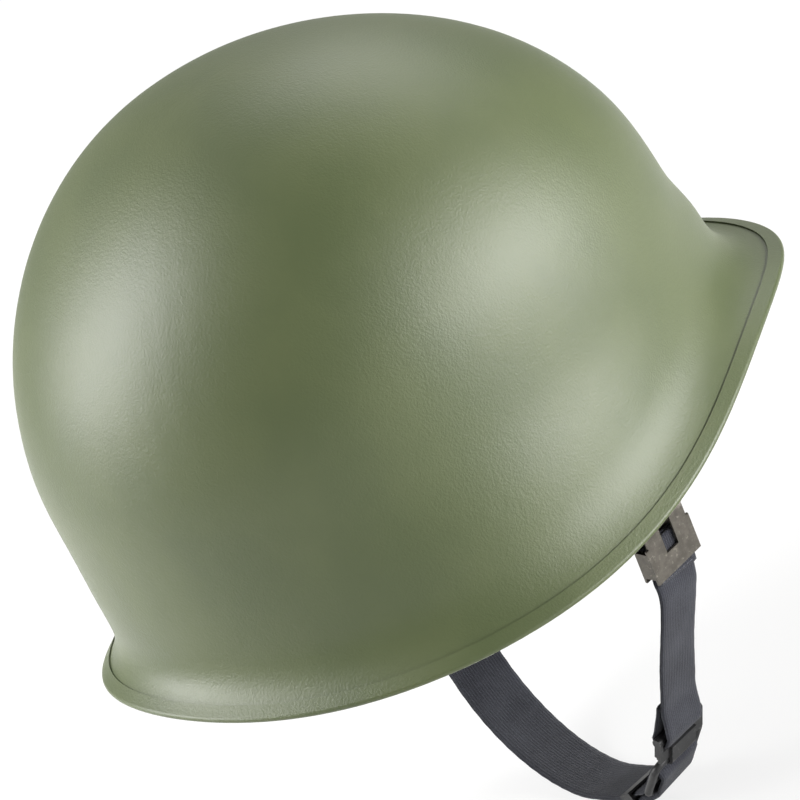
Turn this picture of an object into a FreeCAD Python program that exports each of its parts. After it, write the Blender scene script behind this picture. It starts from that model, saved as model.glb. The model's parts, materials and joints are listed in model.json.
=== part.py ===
import FreeCAD
import Part
import math
import os

# Steel pot helmet with its liner and closed chin strap, millimetres.
# The origin is the centre of the rim at ear height. Front is -Y, wearer's left is +X, up is +Z.

# Steel rim, seen from above and from the side
RIM_FRONT = 144.8
RIM_REAR = 134.8
RIM_HALF_WIDTH = 118.4
RIM_EGG = 0.021
RIM_SQUARE = 0.014
RIM_FRONT_RISE = 17.0
RIM_REAR_RISE = 12.7
RIM_WAVE_3 = -3.3
RIM_WAVE_4 = -1.55
RIM_WAVE_5 = -1.28

# Dome of the steel shell
CROWN_HEIGHT = 178.9
EQUATOR_HEIGHT = 69.2
DOME_HALF_WIDTH = 103.7
DOME_FRONT = 117.9
DOME_REAR = 122.0
DOME_CENTRE_Y = 8.0
DOME_FULLNESS_FRONT = 1.98
DOME_FULLNESS_SIDE = 2.25
DOME_FULLNESS_REAR = 1.96

# Visor, side and neck flare, as front, side and rear values
FLARE_ANGLE = (22.2, 58.2, 27.4)
FLARE_LENGTH = (22.4, 16.2, 13.6)
KNEE_SIZE = (13.4, 12.2, 11.0)
WALL_LEAN = (1.1, 4.9, -1.0)

# Steel sheet and the folded edging on the rim
STEEL_SHEET = 1.1
EDGING_SHEET = 0.5
EDGING_HEIGHT = 5.8
EDGING_GAP = 0.1
STEEL_BACK = STEEL_SHEET / 2 + EDGING_GAP + EDGING_SHEET

# Liner
LINER_GAP = 1.6
LINER_WALL = 2.6
LINER_EDGE = (2.95, 2.28, 2.7)
LINER_OUT = STEEL_SHEET + LINER_GAP
LINER_IN = LINER_OUT + LINER_WALL

# Bail, its bracket and where the chin strap hangs
BAIL_STATION = 279.4
BAIL_WIRE = 3.0
BAIL_DROP = 8.0
BAIL_CORNER = 3.5
BAIL_PLAY = 0.08
BRACKET_SHEET = 0.7
BRACKET_WIDTH = 15.0
BRACKET_HEIGHT = 8.4
BRACKET_ROW = 2.64

# Clip that hooks the strap on the bail
CLIP_SHEET = 0.9
CLIP_LENGTH = 18.5
CLIP_INSIDE = 4.6
CLIP_ARM = 7.0
CLIP_SHOULDER = 1.2
CLIP_WINDOW_END = 10.8
CLIP_LEAN = 11.0

# Webbing and chin strap route: points of the right half, the left half is its mirror image
WEB_WIDTH = 19.5
CLIP_MARGIN = 2.9
CLIP_WIDTH = WEB_WIDTH + CLIP_MARGIN
BAIL_MARGIN = 4.6
BAIL_WIDTH = CLIP_WIDTH + BAIL_WIRE + BAIL_MARGIN
HOOK_MARGIN = 3.5
HOOK_BAR_LENGTH = WEB_WIDTH + HOOK_MARGIN
WEB_THICK = 1.5
WEB_DOUBLED = 3.4
WEB_YAW = 18.0
SOFT_GAP = 0.3
STRAP_ROUTE = ((-98.0, -15.0, -36.5), (-90.0, -10.8, -51.5), (-82.5, -7.6, -66.0))
HOOK_POINT = (-75.0, -4.4, -79.3)
CHIN_ROUTE = ((-66.5, -2.4, -90.5), (-54.5, -0.8, -100.5), (-38.0, 0.6, -108.5), (-19.5, 1.5, -113.2))
CHIN_POINT = (0.0, 1.8, -114.6)
FOLD_BACK = 14.0

# Hook and buckle of the chin strap
HOOK_BAR = 3.6
HOOK_REACH = 10.5
HOOK_SHEET = 1.3
HOOK_CLAW_WIDTH = 13.0
HOOK_PLAY = 0.25
BUCKLE_WIRE = 2.8
BUCKLE_MARGIN = 1.9
BUCKLE_WIDTH = WEB_WIDTH + 2 * BUCKLE_WIRE + BUCKLE_MARGIN
BUCKLE_LENGTH = 19.0
BUCKLE_CORNER = 3.0
BUCKLE_THINNER = 0.15
TAIL_LENGTH = 46.0
TAIL_SPREAD = 2.5
TIP_LENGTH = 8.0
TIP_SHEET = 0.5
KEEPER_SHEET = 0.8
KEEPER_LENGTH = 8.0
KEEPER_PLACE = 27.0
KEEPER_GAP = 0.58

# Suspension inside the liner
YOKE_FIRST = 30
YOKE_STEP = 60
YOKE_SHEET = 1.2
YOKE_WIDTH = 24.0
YOKE_RISE = 12.0
YOKE_FALL = 9.0
YOKE_LEVEL = 60.0
RIVET_SHANK = 4.0
RIVET_HEAD = 8.0
RIVET_HEAD_THICK = 0.8
HEADBAND_HEIGHT = 22.0
HEADBAND_LEVEL = 56.0
CROWN_WEB_WIDTH = 18.0
CROWN_WEB_APEX = 137.0
CROWN_WEB_FOOT = 52.0
WEB_RISE = 71.0
SWEATBAND_HEIGHT = 32.0
SWEATBAND_THICK = 1.8
SWEATBAND_LEVEL = 55.0
BAND_CLIP_WIDTH = 10.0
BAND_CLIP_SHEET = 0.7
BAND_CLIP_DEPTH = 12.0
BAND_BUCKLE = (26.0, 20.0, 1.4)
NAPE_WEB_HEIGHT = 17.0
NAPE_LEVEL = 28.5
NAPE_SPREAD = 44.0
NAPE_REACH = 97.0
STUD_CAP = 9.0
STUD_CAP_THICK = 1.4
STUD_STATION = 102.0
STUD_LEVEL = 38.0
EYELET_OUTER = 11.0
EYELET_BORE = 6.0
EYELET_SHEET = 0.6
EYELET_LEVEL = 88.0
FIT_GAP = 0.05

# Resolution of the fitted surfaces
STATIONS = 72

V = FreeCAD.Vector
UP = V(0, 0, 1)
PARTS = {}


def blend3(theta, values):
    c = math.cos(theta)
    front, side, rear = values
    if c > 0:
        return side + (front - side) * c * c
    return side + (rear - side) * c * c


def rim_height(theta):
    c = math.cos(theta)
    base = (RIM_FRONT_RISE + RIM_REAR_RISE) / 4.0 * (1 + math.cos(2 * theta))
    base += (RIM_FRONT_RISE - RIM_REAR_RISE) / 2.0 * c
    base += RIM_WAVE_3 * (math.cos(3 * theta) - c)
    base += RIM_WAVE_4 * (math.cos(4 * theta) - 1)
    return base + RIM_WAVE_5 * (math.cos(5 * theta) - c)


def rim_point(theta):
    c = math.cos(theta)
    s = math.sin(theta)
    f = 1 + RIM_EGG * (math.cos(3 * theta) - c) + RIM_SQUARE * (math.cos(4 * theta) - 1)
    reach = RIM_FRONT if c > 0 else RIM_REAR
    return V(RIM_HALF_WIDTH * s * f, -reach * c * f, rim_height(theta))


def dome_point(theta, angle):
    c = math.cos(theta)
    s = math.sin(theta)
    reach = DOME_FRONT + DOME_CENTRE_Y if c > 0 else DOME_REAR - DOME_CENTRE_Y
    m = blend3(theta, (DOME_FULLNESS_FRONT, DOME_FULLNESS_SIDE, DOME_FULLNESS_REAR))
    out = math.sin(angle) ** (2.0 / m)
    rise = max(math.cos(angle), 0.0) ** (2.0 / m)
    z = EQUATOR_HEIGHT + (CROWN_HEIGHT - EQUATOR_HEIGHT) * rise
    return V(DOME_HALF_WIDTH * s * out, DOME_CENTRE_Y - reach * c * out, z)


def steel_point(theta, row):
    # row is (0..1) dome, (1..2) wall, (2..3) knee; above 3 it is 3 plus the distance run on the flare
    # measured from the rim edge, negative towards the crown, scaled by 1/1000
    if row <= 1.0:
        return dome_point(theta, row * math.pi / 2)
    rim = rim_point(theta)
    out = V(rim.x, rim.y - DOME_CENTRE_Y, 0)
    out.normalize()
    a = math.radians(blend3(theta, FLARE_ANGLE))
    w = math.radians(blend3(theta, WALL_LEAN))
    flare = out * math.cos(a) - UP * math.sin(a)
    wall = out * math.sin(w) - UP * math.cos(w)
    length = blend3(theta, FLARE_LENGTH)
    knee = blend3(theta, KNEE_SIZE)
    corner = rim - flare * length
    top = corner - wall * knee
    if row <= 2.0:
        u = row - 1.0
        start = dome_point(theta, math.pi / 2)
        h = (top - start).Length / 3.0
        a1 = start - UP * h
        a2 = top - wall * h
        return (start * (1 - u) ** 3 + a1 * (3 * (1 - u) ** 2 * u)
                + a2 * (3 * (1 - u) * u * u) + top * u ** 3)
    low = corner + flare * min(knee, 0.9 * length)
    if row <= 3.0:
        u = row - 2.0
        return top * (1 - u) ** 2 + corner * (2 * (1 - u) * u) + low * (u * u)
    run = (row - 4.0) * 1000.0
    return rim + flare * run


def flare_row(run):
    # row number of the point that lies run millimetres along the flare from the rim edge
    return 4.0 + run / 1000.0


def edge_row(theta, run):
    # row of the point run millimetres from the rim edge, which may lie above the straight flare
    length = blend3(theta, FLARE_LENGTH)
    knee = min(blend3(theta, KNEE_SIZE), 0.9 * length)
    above = -run - (length - knee)
    if above <= 0:
        return flare_row(run)
    return 3.0 - above / (2.0 * knee)


def outward(theta, row):
    if row < 1e-6:
        return V(0, 0, 1)
    e = 1e-3
    if row > 3.5:
        d = 1e-4
        down = steel_point(theta, row + d) - steel_point(theta, row - d)
    else:
        low = math.floor(row - 1e-9)
        down = steel_point(theta, min(row + e, low + 1)) - steel_point(theta, max(row - e, low))
    across = steel_point(theta + e, row) - steel_point(theta - e, row)
    n = down.cross(across)
    n.normalize()
    return n


def skin(theta, row, depth):
    # point at the given depth under the outer face of the steel
    return steel_point(theta, row) - outward(theta, row) * depth


def stations():
    return [2 * math.pi * i / STATIONS for i in range(STATIONS)]


def ring_surface(rows, places_u=None):
    # closed-round surface through rows of points, each row one ring
    if places_u is None:
        places_u = [float(i) for i in range(len(rows[0]) + 1)]
    grid = []
    for row in rows:
        spread = max((p - row[0]).Length for p in row)
        if spread < 1e-6:
            grid.append([row[0]] * (len(row) + 1))
            continue
        ring = Part.BSplineCurve()
        ring.interpolate(Points=row, PeriodicFlag=True, Parameters=places_u)
        grid.append(ring.getPoles())
    count = len(grid[-1])
    knots_u = places_u
    mults_u = [2] + [1] * (len(places_u) - 2) + [2]
    if len(rows) == 2:
        knots_v = [0.0, 1.0]
        mults_v = [2, 2]
        degree_v = 1
        table = [[grid[0][j], grid[1][j]] for j in range(count)]
    else:
        places = [0.0]
        for k in range(1, len(rows)):
            step = sum((rows[k][j] - rows[k - 1][j]).Length for j in range(count - 1)) / (count - 1)
            places.append(places[-1] + step)
        table = []
        for j in range(count):
            column = Part.BSplineCurve()
            column.interpolate(Points=[grid[k][j] for k in range(len(rows))], Parameters=places)
            table.append(column.getPoles())
        mults_v = column.getMultiplicities()
        knots_v = column.getKnots()
        degree_v = column.Degree
    surface = Part.BSplineSurface()
    surface.buildFromPolesMultsKnots(table, mults_u, mults_v, knots_u, knots_v, True, False, 3, degree_v)
    return surface


def closed_solid(faces):
    shell = Part.makeShell(faces)
    if not shell.isClosed():
        shell = Part.makeCompound(faces)
        shell.sewShape()
        shell = shell.Shells[0]
    solid = Part.makeSolid(shell)
    if solid.Volume < 0:
        solid.reverse()
    return solid


def ring_solid(corners, places_u=None):
    # solid with one closed section all the way round: groups of rings, neighbours share a ring
    faces = []
    for group in corners:
        faces.append(ring_surface(group, places_u).toShape())
    return closed_solid(faces)


def skin_rows(row_list, depth):
    result = []
    for row in row_list:
        result.append([skin(t, row(t) if callable(row) else row, depth) for t in stations()])
    return result


def cap_solid(depth_out, depth_in, low_rows):
    # thin dome from the crown down to the last of the low rows
    rows = [0.0, 0.08, 0.17, 0.27, 0.38, 0.5, 0.62, 0.74, 0.87, 1.0, 1.25, 1.5, 1.75, 2.0]
    outer = skin_rows(rows + low_rows, depth_out)
    inner = skin_rows(rows + low_rows, depth_in)
    return ring_solid([outer, [outer[-1], inner[-1]], inner[::-1]])


def steel_low_rows():
    rows = [2.17, 2.34, 2.5, 2.66, 2.83, 3.0]

    def run_row(share):
        def row(t):
            length = blend3(t, FLARE_LENGTH)
            start = min(blend3(t, KNEE_SIZE), 0.9 * length) - length
            return flare_row(start + (-STEEL_BACK - start) * share)
        return row
    return rows + [run_row(0.5), run_row(1.0)]


def liner_low_rows():
    def part_row(share):
        def row(t):
            return 2.0 + (blend3(t, LINER_EDGE) - 2.0) * share
        return row
    return [part_row(0.25), part_row(0.5), part_row(0.75), part_row(1.0)]


def make_edging():
    # channel of folded sheet around the rim: outer leg, rounded foot, inner leg
    top = -EDGING_HEIGHT
    inside = EDGING_GAP + STEEL_SHEET
    legs = [top, top * 0.5, -STEEL_BACK]

    def leg(depth):
        return [[skin(t, edge_row(t, r), depth) for t in stations()] for r in legs]

    def foot(radius, steps):
        rings = []
        for k in range(1, steps):
            a = math.pi * k / steps
            depth = STEEL_SHEET / 2 - radius * math.cos(a)
            run = -STEEL_BACK + radius * math.sin(a)
            ring = []
            for t in stations():
                p = rim_point(t)
                base = skin(t, flare_row(-STEEL_BACK), depth)
                down = p - steel_point(t, flare_row(-3.0))
                down.normalize()
                ring.append(base + down * (run + STEEL_BACK))
            rings.append(ring)
        return rings
    outer_radius = STEEL_SHEET / 2 + EDGING_GAP + EDGING_SHEET
    inner_radius = STEEL_SHEET / 2 + EDGING_GAP
    out_out = leg(-EDGING_GAP - EDGING_SHEET)
    out_in = leg(-EDGING_GAP)
    in_out = leg(inside)
    in_in = leg(inside + EDGING_SHEET)
    foot_out = [out_out[-1]] + foot(outer_radius, 6) + [in_in[-1]]
    foot_in = [out_in[-1]] + foot(inner_radius, 6) + [in_out[-1]]
    groups = [out_out, foot_out, in_in[::-1], [in_in[0], in_out[0]], in_out, foot_in[::-1], out_in[::-1],
              [out_in[0], out_out[0]]]
    add("rim_edging", ring_solid(groups))


def row_at(theta, level):
    # row whose steel point has the given height
    if level >= EQUATOR_HEIGHT:
        m = blend3(theta, (DOME_FULLNESS_FRONT, DOME_FULLNESS_SIDE, DOME_FULLNESS_REAR))
        rise = (level - EQUATOR_HEIGHT) / (CROWN_HEIGHT - EQUATOR_HEIGHT)
        return math.acos(rise ** (m / 2.0)) / (math.pi / 2)
    low = 1.0
    high = 3.0
    for k in range(40):
        mid = (low + high) / 2
        if steel_point(theta, mid).z > level:
            low = mid
        else:
            high = mid
    return low


def seat(theta_deg, row, depth):
    # placement on a wall: Z outward, X level and around the helmet, Y up the wall
    t = math.radians(theta_deg)
    x = steel_point(t + 1e-3, row) - steel_point(t - 1e-3, row)
    x.z = 0
    x.normalize()
    z = outward(t, row)
    z = z - x * z.dot(x)
    z.normalize()
    y = z.cross(x)
    return FreeCAD.Placement(skin(t, row, depth), FreeCAD.Rotation(x, y, z, "ZXY"))


def frame_at(origin, x, y):
    # placement with X along x and Y as near to y as it can be
    x = V(x)
    x.normalize()
    z = x.cross(y)
    z.normalize()
    y = z.cross(x)
    return FreeCAD.Placement(origin, FreeCAD.Rotation(x, y, z, "ZXY"))


def placed(shape, placement):
    result = shape.copy()
    result.Placement = placement.multiply(result.Placement)
    return result


def box(x0, x1, y0, y1, z0, z1):
    return Part.makeBox(x1 - x0, y1 - y0, z1 - z0, V(x0, y0, z0))


def rod(radius, length, centre, axis):
    a = V(axis)
    a.normalize()
    return Part.makeCylinder(radius, length, centre - a * (length / 2), a)


def fused(shapes):
    result = shapes[0].multiFuse(shapes[1:])
    return result.removeSplitter()


def mirrored(shape):
    return shape.mirror(V(0, 0, 0), V(1, 0, 0))


def sag(width, radius):
    return width * width / (8.0 * radius)


def add(name, shape):
    PARTS[name] = shape


def add_pair(name, shape):
    add(name + "_right", shape)
    add(name + "_left", mirrored(shape))


def wire_loop(width, drop, corner, diameter):
    # closed rectangle of round wire in the XY plane, its first side on the X axis
    r = diameter / 2.0
    half = (width - diameter) / 2.0
    pieces = []
    for y in (0.0, -drop):
        pieces.append(rod(r, 2 * (half - corner), V(0, y, 0), V(1, 0, 0)))
    for x in (-half, half):
        pieces.append(rod(r, drop - 2 * corner, V(x, -drop / 2, 0), V(0, 1, 0)))
    for sx, sy, turn in ((1, 1, 0), (-1, 1, 90), (-1, -1, 180), (1, -1, 270)):
        y = -corner if sy > 0 else -drop + corner
        bend = Part.makeTorus(corner, r, V(0, 0, 0), V(0, 0, 1), 0, 360, 90)
        bend.rotate(V(0, 0, 0), V(0, 0, 1), turn)
        bend.translate(V(sx * (half - corner), y, 0))
        pieces.append(bend)
    return fused(pieces)


def strip(samples):
    # flat band through sections: centre, width direction, face normal, width, thickness
    wires = []
    for centre, w, n, width, thick in samples:
        a = w * (width / 2.0)
        b = n * (thick / 2.0)
        corners = [centre - a - b, centre + a - b, centre + a + b, centre - a + b]
        wires.append(Part.makePolygon(corners + [corners[0]]))
    solid = Part.makeLoft(wires, True, True)
    if solid.Volume < 0:
        solid.reverse()
    return solid


def make_steel():
    add("outer_shell", cap_solid(0.0, STEEL_SHEET, steel_low_rows()))


# Bail brackets, bails and clips

def bracket_seat():
    return seat(BAIL_STATION, BRACKET_ROW, STEEL_SHEET)


def bracket_stand():
    back = bracket_seat().inverse()
    need = 0.0
    for i in range(-5, 6):
        t = math.radians(BAIL_STATION + i)
        for j in range(25):
            p = back.multVec(skin(t, 2.0 + j / 24.0, STEEL_SHEET))
            if abs(p.x) <= BRACKET_WIDTH / 2 + 0.5 and abs(p.y) <= BRACKET_HEIGHT / 2 + 0.5:
                need = max(need, -p.z)
    return need + 0.1


def bail_tube_radius():
    return BAIL_WIRE / 2 + BAIL_PLAY + BRACKET_SHEET


def bail_axis():
    local = V(0, -BRACKET_HEIGHT / 2, -bracket_stand() - bail_tube_radius())
    return bracket_seat().multVec(local)


def bail_frame():
    x = bracket_seat().Rotation.multVec(V(1, 0, 0))
    return frame_at(bail_axis(), x, UP)


def make_brackets():
    stand = bracket_stand()
    radius = bail_tube_radius()
    centre = V(0, -BRACKET_HEIGHT / 2, -stand - radius)
    tube = rod(radius, BRACKET_WIDTH, centre, V(1, 0, 0))
    half = BRACKET_WIDTH / 2
    plate = box(-half, half, -BRACKET_HEIGHT / 2, BRACKET_HEIGHT / 2, -stand - 2 * BRACKET_SHEET, -stand)
    bore = rod(BAIL_WIRE / 2 + BAIL_PLAY, BRACKET_WIDTH + 2, centre, V(1, 0, 0))
    shape = fused([tube, plate]).cut(bore)
    add_pair("bail_bracket", placed(shape, bracket_seat()))


def make_bails():
    loop = wire_loop(BAIL_WIDTH, BAIL_DROP, BAIL_CORNER, BAIL_WIRE)
    add_pair("bail", placed(loop, bail_frame()))


def clip_frame():
    frame = bail_frame()
    bar = frame.multVec(V(0, -BAIL_DROP, 0))
    lean = math.radians(CLIP_LEAN)
    down = frame.Rotation.multVec(V(0, -math.cos(lean), -math.sin(lean)))
    across = frame.Rotation.multVec(V(1, 0, 0))
    return frame_at(bar, down, across)


def make_clips():
    inner = CLIP_INSIDE / 2
    outer = inner + CLIP_SHEET
    half = CLIP_WIDTH / 2
    neck = half - CLIP_SHOULDER
    curl = rod(outer, 2 * neck, V(0, 0, 0), V(0, 1, 0)).common(box(-outer, 0, -half, half, -outer, outer))
    body = box(0, CLIP_LENGTH, -neck, neck, -outer, outer)
    wide = box(4.5, CLIP_LENGTH, -half, half, -outer, outer)
    shape = fused([curl, body, wide])
    shape = shape.cut(rod(inner, CLIP_WIDTH + 4, V(0, 0, 0), V(0, 1, 0)))
    shape = shape.cut(box(0, CLIP_LENGTH + 1, -half - 1, half + 1, -inner, inner))
    window = neck - CLIP_ARM
    shape = shape.cut(box(-outer - 1, CLIP_WINDOW_END, -window, window, 0, outer + 1))
    side = fused([box(6.0, CLIP_LENGTH - 2.0, -half, -half + CLIP_SHEET, -outer, outer)])
    shape = fused([shape, side])
    add_pair("strap_clip", placed(shape, clip_frame()))


# Chin strap

def loop_curve():
    frame = clip_frame()
    half = [frame.multVec(V(x, 0, 0)) for x in (5.2, 12.0, CLIP_LENGTH + 0.5)]
    half += [V(*p) for p in STRAP_ROUTE]
    half.append(V(*HOOK_POINT))
    half += [V(*p) for p in CHIN_ROUTE]
    other = [V(-p.x, p.y, p.z) for p in reversed(half)]
    curve = Part.BSplineCurve()
    curve.interpolate(half + [V(*CHIN_POINT)] + other)
    return curve


def loop_tools():
    curve = loop_curve()
    start = curve.FirstParameter
    total = curve.length()
    hook = curve.length(start, curve.parameter(V(*HOOK_POINT)))
    return curve, total, hook


CURVE, LOOP_LENGTH, HOOK_AT = loop_tools()
BUCKLE_AT = HOOK_AT + HOOK_REACH + BUCKLE_LENGTH / 2
WRAP_HOOK = HOOK_BAR / 2 + SOFT_GAP + WEB_THICK / 2
WRAP_BUCKLE = BUCKLE_WIRE / 2 + SOFT_GAP + WEB_THICK / 2


def loop_frame(distance):
    # point, direction, width direction and outer normal of the strap, distance from its right end
    u = CURVE.parameterAtDistance(distance, CURVE.FirstParameter)
    p = CURVE.value(u)
    t = CURVE.tangent(u)[0]
    share = max(-1.0, min(1.0, -p.x / 75.0))
    yaw = math.radians(WEB_YAW * share)
    w = V(math.sin(yaw), -math.cos(yaw), 0)
    w = w - t * w.dot(t)
    w.normalize()
    return p, t, w, t.cross(w)


def strap_frame(s):
    # the same, but square to each clip while the strap is inside it
    p, t, w, n = loop_frame(s)
    clip = clip_frame()
    across = clip.Rotation.multVec(V(0, 1, 0))
    if s > LOOP_LENGTH / 2:
        across = V(-across.x, across.y, across.z)
        s = LOOP_LENGTH - s
    share = ease((s - CLIP_LENGTH + 4.0) / 12.0)
    w = w * share + across * (1 - share)
    w = w - t * w.dot(t)
    w.normalize()
    return p, t, w, t.cross(w)


def ease(x):
    x = max(0.0, min(1.0, x))
    return x * x * (3 - 2 * x)


def make_short_strap():
    samples = []
    steps = 16
    for k in range(steps):
        s = (HOOK_AT - 1.5) * k / (steps - 1)
        p, t, w, n = strap_frame(s)
        inside = 1.0 - ease((s - 16.5) / 4.0)
        thick = WEB_THICK + (WEB_DOUBLED - WEB_THICK) * inside
        lift = WRAP_HOOK * ease(1.0 - (HOOK_AT - s) / FOLD_BACK)
        samples.append((p + n * lift, w, n, WEB_WIDTH, thick))
    hook, buckle, reach = buckle_frames()
    p = hook.Base
    t = hook.Rotation.multVec(V(1, 0, 0))
    w = hook.Rotation.multVec(V(0, 1, 0))
    n = hook.Rotation.multVec(V(0, 0, 1))
    for k in range(0, 9):
        a = math.pi * k / 8
        m = n * math.cos(a) + t * math.sin(a)
        samples.append((p + m * WRAP_HOOK, w, m, WEB_WIDTH, WEB_THICK))
    for k in range(1, 6):
        back = FOLD_BACK * k / 5
        q, tq, wq, nq = loop_frame(HOOK_AT - back)
        main = WRAP_HOOK * ease(1.0 - back / FOLD_BACK)
        low = -WRAP_HOOK + (WRAP_HOOK - WEB_THICK - SOFT_GAP) * ease(back / FOLD_BACK)
        low = min(low, main - WEB_THICK - SOFT_GAP)
        samples.append((q + nq * low, wq, nq * -1, WEB_WIDTH, WEB_THICK))
    add("chin_strap_short", strip(samples))


def buckle_frames():
    # hook and buckle frames share their width direction
    p, t, w, n = loop_frame(HOOK_AT)
    c, tc, wc, nc = loop_frame(BUCKLE_AT)
    wide = w + wc
    buckle = frame_at(c, tc, wide)
    near = buckle.multVec(V(-BUCKLE_LENGTH / 2, 0, 0))
    axis = buckle.Rotation.multVec(V(0, 1, 0))
    hook = frame_at(p, near - p, axis)
    return hook, buckle, (near - p).Length


def make_long_strap():
    samples = []
    tail = BUCKLE_AT + TAIL_LENGTH
    steps = 24
    hook, buckle, reach = buckle_frames()

    def spread(s):
        near = 1.0 - ease((s - BUCKLE_AT - BUCKLE_LENGTH / 2 - 2.0) / 8.0)
        return TAIL_SPREAD / 2 + (WRAP_BUCKLE - TAIL_SPREAD / 2) * near
    def run_frame(s):
        # straight through the buckle, then onto the strap's own curve
        p, t, w, n = strap_frame(s)
        share = ease((s - BUCKLE_AT - BUCKLE_LENGTH / 2 - 2.0) / 10.0)
        flat = buckle.multVec(V(s - BUCKLE_AT, 0, 0))
        axis = buckle.Rotation.multVec(V(0, 1, 0))
        face = buckle.Rotation.multVec(V(0, 0, 1))
        w = w * share + axis * (1 - share)
        n = n * share + face * (1 - share)
        w.normalize()
        n.normalize()
        return p * share + flat * (1 - share), w, n
    for k in range(9):
        s = tail - (TAIL_LENGTH - 1.0) * k / 9
        p, w, n = run_frame(s)
        samples.append((p + n * spread(s), w, n * -1, WEB_WIDTH, WEB_THICK))
    c = buckle.Base
    t = buckle.Rotation.multVec(V(1, 0, 0))
    w = buckle.Rotation.multVec(V(0, 1, 0))
    n = buckle.Rotation.multVec(V(0, 0, 1))
    for k in range(9):
        a = math.pi * k / 8
        m = n * math.cos(a) - t * math.sin(a)
        samples.append((c + m * WRAP_BUCKLE, w, m * -1, WEB_WIDTH, WEB_THICK))
    stops = [BUCKLE_AT + 1.0 + (TAIL_LENGTH - 1.0) * k / 9 for k in range(9)]
    stops += [tail + (LOOP_LENGTH - tail) * k / steps for k in range(steps + 1)]
    for s in stops:
        p, w, n = run_frame(s)
        inside = ease((s - (LOOP_LENGTH - 20.5)) / 4.0)
        thick = WEB_THICK + (WEB_DOUBLED - WEB_THICK) * inside
        fade = 1.0 - ease((s - tail - 4.0) / 20.0)
        samples.append((p - n * (spread(s) * fade), w, n, WEB_WIDTH, thick))
    add("chin_strap_long", strip(samples))


def make_hook_and_buckle():
    hook, buckle, reach = buckle_frames()
    bar = rod(HOOK_BAR / 2, HOOK_BAR_LENGTH, V(0, 0, 0), V(0, 1, 0))
    half = HOOK_BAR_LENGTH / 2
    inside = WEB_WIDTH / 2 + SOFT_GAP
    pieces = [bar]
    for side in (-1, 1):
        y0 = min(side * inside, side * half)
        y1 = max(side * inside, side * half)
        pieces.append(box(0, reach - 3.2, y0, y1, -0.9, HOOK_BAR / 2))
    claw_in = BUCKLE_WIRE / 2 + HOOK_PLAY
    claw_out = claw_in + HOOK_SHEET
    start = WRAP_HOOK + WEB_THICK / 2 + SOFT_GAP
    pieces.append(box(start, reach - claw_in, -half, half, HOOK_BAR / 2 - HOOK_SHEET, HOOK_BAR / 2))
    wide = HOOK_CLAW_WIDTH / 2
    ring = rod(claw_out, HOOK_CLAW_WIDTH, V(reach, 0, 0), V(0, 1, 0))
    arm = box(start, reach, -wide, wide, claw_in, claw_out)
    ring = ring.fuse(arm)
    ring = ring.cut(box(reach - claw_out - 1, reach, -half, half, -claw_out - 1, claw_in - HOOK_SHEET))
    body = fused(pieces + [ring])
    body = body.cut(box(reach - claw_out - 1, reach, -half, half, -claw_out - 1, 0))
    near = buckle.multVec(V(-BUCKLE_LENGTH / 2, 0, 0))
    body = placed(body, hook)
    body = body.cut(rod(claw_in, BUCKLE_WIDTH, near, buckle.Rotation.multVec(V(0, 1, 0))))
    add("strap_hook", body)
    loop = wire_loop(BUCKLE_WIDTH, BUCKLE_LENGTH, BUCKLE_CORNER, BUCKLE_WIRE)
    loop.rotate(V(0, 0, 0), V(0, 0, 1), 90)
    loop.translate(V(-BUCKLE_LENGTH / 2, 0, 0))
    middle = rod(BUCKLE_WIRE / 2 - BUCKLE_THINNER, BUCKLE_WIDTH - BUCKLE_WIRE, V(0, 0, 0), V(0, 1, 0))
    add("strap_buckle", placed(fused([loop, middle]), buckle))


def make_tip_and_keeper():
    end = BUCKLE_AT + TAIL_LENGTH
    a, t0, w, n = loop_frame(end)
    b, t1, w1, n1 = loop_frame(end - TIP_LENGTH)
    top = a + n * (TAIL_SPREAD / 2)
    low = b + n1 * (TAIL_SPREAD / 2)
    frame = frame_at(top, top - low, w)
    half = WEB_WIDTH / 2 + 3 * FIT_GAP
    thick = WEB_THICK / 2 + 4 * FIT_GAP
    outside = box(-TIP_LENGTH, TIP_SHEET + 4 * FIT_GAP, -half - TIP_SHEET, half + TIP_SHEET,
                  -thick - TIP_SHEET, thick + TIP_SHEET)
    inside = box(-TIP_LENGTH - 1, 4 * FIT_GAP, -half, half, -thick, thick)
    add("strap_tip", placed(outside.cut(inside), frame))
    c, t, w, n = loop_frame(BUCKLE_AT + KEEPER_PLACE)
    frame = frame_at(c, t, w)
    half = WEB_WIDTH / 2 + KEEPER_GAP
    thick = (TAIL_SPREAD + WEB_THICK) / 2 + KEEPER_GAP
    outside = box(-KEEPER_LENGTH / 2, KEEPER_LENGTH / 2, -half - KEEPER_SHEET, half + KEEPER_SHEET,
                  -thick - KEEPER_SHEET, thick + KEEPER_SHEET)
    inside = box(-KEEPER_LENGTH, KEEPER_LENGTH, -half, half, -thick, thick)
    add("strap_keeper", placed(outside.cut(inside), frame))


# Liner and its suspension

def yoke_angles():
    return list(range(YOKE_FIRST, 360, YOKE_STEP))


def wall_stand(angle, level, half_width, low, high):
    # how far a flat pad must stand off the inner face of the liner to clear its hollow
    place = seat(angle, row_at(math.radians(angle), level), LINER_IN)
    back = place.inverse()
    need = 0.0
    for i in range(-4, 5):
        t = math.radians(angle + i * 4.0)
        for j in range(-6, 7):
            p = back.multVec(skin(t, row_at(t, level + j * (high - low) / 12.0 + (high + low) / 2), LINER_IN))
            if abs(p.x) <= half_width + 1.5 and low - 1.5 <= p.y <= high + 1.5:
                need = max(need, -p.z)
    return need + 0.15


YOKE_INSETS = []


def yoke_inset():
    if not YOKE_INSETS:
        for angle in (YOKE_FIRST, YOKE_FIRST + YOKE_STEP, YOKE_FIRST + 2 * YOKE_STEP):
            YOKE_INSETS.append(wall_stand(angle, YOKE_LEVEL, YOKE_WIDTH / 2, -YOKE_FALL, YOKE_RISE))
    return max(YOKE_INSETS)


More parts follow.
